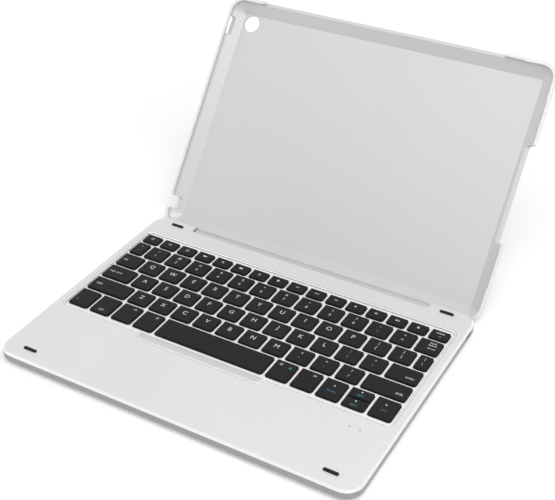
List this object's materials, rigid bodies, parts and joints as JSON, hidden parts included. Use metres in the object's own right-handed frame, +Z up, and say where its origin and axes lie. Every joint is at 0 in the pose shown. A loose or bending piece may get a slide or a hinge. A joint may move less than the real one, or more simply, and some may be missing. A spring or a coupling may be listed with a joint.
{
  "type": "tablet keyboard case",
  "caption": "Slim wireless keyboard base with a hinged snap-in tray that holds and covers a 9.7 inch tablet.",
  "frame": {"origin": "on the floor under the rubber feet, in the middle of the open case's bounding box", "axes": "+Z up, +X to the typist's right, -Y towards the typist, so the tray leans back towards +Y"},
  "size_m": [0.2446, 0.284, 0.1387],
  "materials": {
    "silver_shell": "fine satin, anodised, with bright cut edges",
    "silver_cover": "matte silver",
    "silver_frame": "matte silver",
    "spine_metal": "satin",
    "key_black": "matte, fine grain, light legends",
    "black_plastic": "matte",
    "black_rubber": "matte rubber",
    "dome_rubber": "milky silicone",
    "plate_steel": "rolled",
    "screw_steel": "machined",
    "port_steel": "stamped",
    "magnet": "nickel plated",
    "cell_wrap": "foil wrap",
    "board_green": "solder resist",
    "legend_print": "pale printed legends",
    "legend_blue": "blue printed legends",
    "lens_clear": "clear lens"
  },
  "bodies": {
    "base": {"base_upper_shell": "silver_shell", "base_lower_cover": "silver_cover", "keyboard_frame": "silver_frame", "key_backplate": "plate_steel", "dome_sheet": "dome_rubber", "battery_pack": "cell_wrap", "circuit_board": "board_green", "charging_port": "port_steel", "switch_guide": "black_plastic", "led_lenses": "lens_clear", "top_bumpers": "black_rubber", "rubber_feet": "black_rubber", "cover_screws": "screw_steel", "hinge_brackets": "plate_steel", "closing_magnets": "magnet"},
    "power_slide": {"power_slide": "black_plastic"},
    "lid": {"lid_shell": "silver_shell", "hinge_spine": "spine_metal", "hinge_pins": "screw_steel"},
    "function_keys": {"function_keys": "key_black"},
    "number_keys": {"number_keys": "key_black"},
    "upper_letter_keys": {"upper_letter_keys": "key_black"},
    "home_letter_keys": {"home_letter_keys": "key_black"},
    "lower_letter_keys": {"lower_letter_keys": "key_black"},
    "grave_key": {"grave_key": "key_black"},
    "backspace_key": {"backspace_key": "key_black"},
    "tab_key": {"tab_key": "key_black"},
    "backslash_key": {"backslash_key": "key_black"},
    "caps_key": {"caps_key": "key_black"},
    "enter_key": {"enter_key": "key_black"},
    "left_shift_key": {"left_shift_key": "key_black"},
    "right_shift_key": {"right_shift_key": "key_black"},
    "fn_key": {"fn_key": "key_black"},
    "ctrl_key": {"ctrl_key": "key_black"},
    "left_alt_key": {"left_alt_key": "key_black"},
    "left_meta_key": {"left_meta_key": "key_black"},
    "space_key": {"space_key": "key_black"},
    "right_meta_key": {"right_meta_key": "key_black"},
    "right_alt_key": {"right_alt_key": "key_black"},
    "left_arrow_key": {"left_arrow_key": "key_black"},
    "up_arrow_key": {"up_arrow_key": "key_black"},
    "down_arrow_key": {"down_arrow_key": "key_black"},
    "right_arrow_key": {"right_arrow_key": "key_black"}
  },
  "joints": [
    {"name": "lid_hinge", "type": "hinge", "parent": "base", "child": "lid", "pos_m": [0, 0.03054, 0.00507], "axis": [1, 0, 0], "range_deg": [0, 127.7]},
    {"name": "power_slide", "type": "slide", "parent": "base", "child": "power_slide", "axis": [0, 1, 0], "range_m": [-0.002, 0]},
    {"name": "function_keys_press", "type": "slide", "parent": "base", "child": "function_keys", "axis": [0, 0, 1], "range_m": [-0.0012, 0], "stiffness_N_per_m": 500, "deforming": ["dome_sheet"]},
    {"name": "number_keys_press", "type": "slide", "parent": "base", "child": "number_keys", "axis": [0, 0, 1], "range_m": [-0.0012, 0], "stiffness_N_per_m": 500, "deforming": ["dome_sheet"]},
    {"name": "upper_letter_keys_press", "type": "slide", "parent": "base", "child": "upper_letter_keys", "axis": [0, 0, 1], "range_m": [-0.0012, 0], "stiffness_N_per_m": 500, "deforming": ["dome_sheet"]},
    {"name": "home_letter_keys_press", "type": "slide", "parent": "base", "child": "home_letter_keys", "axis": [0, 0, 1], "range_m": [-0.0012, 0], "stiffness_N_per_m": 500, "deforming": ["dome_sheet"]},
    {"name": "lower_letter_keys_press", "type": "slide", "parent": "base", "child": "lower_letter_keys", "axis": [0, 0, 1], "range_m": [-0.0012, 0], "stiffness_N_per_m": 500, "deforming": ["dome_sheet"]},
    {"name": "grave_press", "type": "slide", "parent": "base", "child": "grave_key", "axis": [0, 0, 1], "range_m": [-0.0012, 0], "stiffness_N_per_m": 400, "deforming": ["dome_sheet"]},
    {"name": "backspace_press", "type": "slide", "parent": "base", "child": "backspace_key", "axis": [0, 0, 1], "range_m": [-0.0012, 0], "stiffness_N_per_m": 400, "deforming": ["dome_sheet"]},
    {"name": "tab_press", "type": "slide", "parent": "base", "child": "tab_key", "axis": [0, 0, 1], "range_m": [-0.0012, 0], "stiffness_N_per_m": 400, "deforming": ["dome_sheet"]},
    {"name": "backslash_press", "type": "slide", "parent": "base", "child": "backslash_key", "axis": [0, 0, 1], "range_m": [-0.0012, 0], "stiffness_N_per_m": 400, "deforming": ["dome_sheet"]},
    {"name": "caps_press", "type": "slide", "parent": "base", "child": "caps_key", "axis": [0, 0, 1], "range_m": [-0.0012, 0], "stiffness_N_per_m": 400, "deforming": ["dome_sheet"]},
    {"name": "enter_press", "type": "slide", "parent": "base", "child": "enter_key", "axis": [0, 0, 1], "range_m": [-0.0012, 0], "stiffness_N_per_m": 400, "deforming": ["dome_sheet"]},
    {"name": "left_shift_press", "type": "slide", "parent": "base", "child": "left_shift_key", "axis": [0, 0, 1], "range_m": [-0.0012, 0], "stiffness_N_per_m": 400, "deforming": ["dome_sheet"]},
    {"name": "right_shift_press", "type": "slide", "parent": "base", "child": "right_shift_key", "axis": [0, 0, 1], "range_m": [-0.0012, 0], "stiffness_N_per_m": 400, "deforming": ["dome_sheet"]},
    {"name": "fn_press", "type": "slide", "parent": "base", "child": "fn_key", "axis": [0, 0, 1], "range_m": [-0.0012, 0], "stiffness_N_per_m": 400, "deforming": ["dome_sheet"]},
    {"name": "ctrl_press", "type": "slide", "parent": "base", "child": "ctrl_key", "axis": [0, 0, 1], "range_m": [-0.0012, 0], "stiffness_N_per_m": 400, "deforming": ["dome_sheet"]},
    {"name": "left_alt_press", "type": "slide", "parent": "base", "child": "left_alt_key", "axis": [0, 0, 1], "range_m": [-0.0012, 0], "stiffness_N_per_m": 400, "deforming": ["dome_sheet"]},
    {"name": "left_meta_press", "type": "slide", "parent": "base", "child": "left_meta_key", "axis": [0, 0, 1], "range_m": [-0.0012, 0], "stiffness_N_per_m": 400, "deforming": ["dome_sheet"]},
    {"name": "space_press", "type": "slide", "parent": "base", "child": "space_key", "axis": [0, 0, 1], "range_m": [-0.0012, 0], "stiffness_N_per_m": 400, "deforming": ["dome_sheet"]},
    {"name": "right_meta_press", "type": "slide", "parent": "base", "child": "right_meta_key", "axis": [0, 0, 1], "range_m": [-0.0012, 0], "stiffness_N_per_m": 400, "deforming": ["dome_sheet"]},
    {"name": "right_alt_press", "type": "slide", "parent": "base", "child": "right_alt_key", "axis": [0, 0, 1], "range_m": [-0.0012, 0], "stiffness_N_per_m": 400, "deforming": ["dome_sheet"]},
    {"name": "left_arrow_press", "type": "slide", "parent": "base", "child": "left_arrow_key", "axis": [0, 0, 1], "range_m": [-0.0012, 0], "stiffness_N_per_m": 400, "deforming": ["dome_sheet"]},
    {"name": "up_arrow_press", "type": "slide", "parent": "base", "child": "up_arrow_key", "axis": [0, 0, 1], "range_m": [-0.0012, 0], "stiffness_N_per_m": 400, "deforming": ["dome_sheet"]},
    {"name": "down_arrow_press", "type": "slide", "parent": "base", "child": "down_arrow_key", "axis": [0, 0, 1], "range_m": [-0.0012, 0], "stiffness_N_per_m": 400, "deforming": ["dome_sheet"]},
    {"name": "right_arrow_press", "type": "slide", "parent": "base", "child": "right_arrow_key", "axis": [0, 0, 1], "range_m": [-0.0012, 0], "stiffness_N_per_m": 400, "deforming": ["dome_sheet"]}
  ]
}
